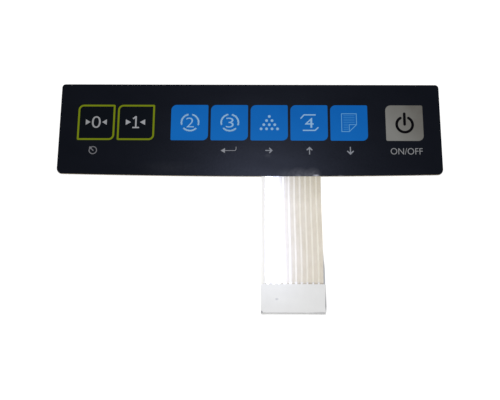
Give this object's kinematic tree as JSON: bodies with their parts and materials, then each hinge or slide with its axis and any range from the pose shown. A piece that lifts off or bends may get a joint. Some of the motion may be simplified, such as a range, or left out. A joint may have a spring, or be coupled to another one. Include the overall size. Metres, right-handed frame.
{
  "type": "membrane keypad",
  "caption": "Flat membrane keypad: dark printed overlay with framed, blue and grey key areas over a layered contact film, with a ribbon-like film tail ending in a white socket housing",
  "frame": {"origin": "centre of the panel's rear face, which is the outer face of the release liner", "axes": "+X along the row of keys to the right as read, +Y to the panel's upper edge, +Z out of the keys; the tail runs towards -Y"},
  "size_m": [0.18, 0.1081, 0.0026],
  "materials": {
    "overlay_black": "fine matte",
    "frame_green": "printed, matte",
    "key_blue": "printed, matte",
    "key_grey": "printed, matte",
    "adhesive": "pressure-sensitive film",
    "clear_film": "clear glossy",
    "silver_ink": "printed silver ink",
    "spacer_film": "satin",
    "carbon_ink": "printed carbon ink",
    "liner_paper": "smooth coated paper",
    "cover_ink": "printed insulating ink",
    "housing_white": "moulded, fine matte",
    "contact_tin": "stamped, plated"
  },
  "bodies": {
    "root": {"graphic_overlay": "overlay_black", "key_frame_1": "frame_green", "key_frame_2": "frame_green", "key_field_3": "key_blue", "key_field_4": "key_blue", "key_field_5": "key_blue", "key_field_6": "key_blue", "key_field_7": "key_blue", "key_field_8": "key_grey", "overlay_adhesive": "adhesive", "upper_circuit_film": "clear_film", "track_common": "silver_ink", "track_key_1": "silver_ink", "track_key_2": "silver_ink", "track_key_3": "silver_ink", "track_key_4": "silver_ink", "track_key_5": "silver_ink", "track_key_6": "silver_ink", "track_key_7": "silver_ink", "track_key_8": "silver_ink", "spacer": "spacer_film", "shorting_pad_1": "carbon_ink", "shorting_pad_2": "carbon_ink", "shorting_pad_3": "carbon_ink", "shorting_pad_4": "carbon_ink", "shorting_pad_5": "carbon_ink", "shorting_pad_6": "carbon_ink", "shorting_pad_7": "carbon_ink", "shorting_pad_8": "carbon_ink", "lower_circuit_film": "clear_film", "rear_adhesive": "adhesive", "release_liner": "liner_paper", "tail_cover": "cover_ink", "connector_housing": "housing_white", "contact_1": "contact_tin", "contact_2": "contact_tin", "contact_3": "contact_tin", "contact_4": "contact_tin", "contact_5": "contact_tin", "contact_6": "contact_tin", "contact_7": "contact_tin", "contact_8": "contact_tin", "contact_9": "contact_tin", "contact_10": "contact_tin", "contact_11": "contact_tin"}
  },
  "joints": []
}
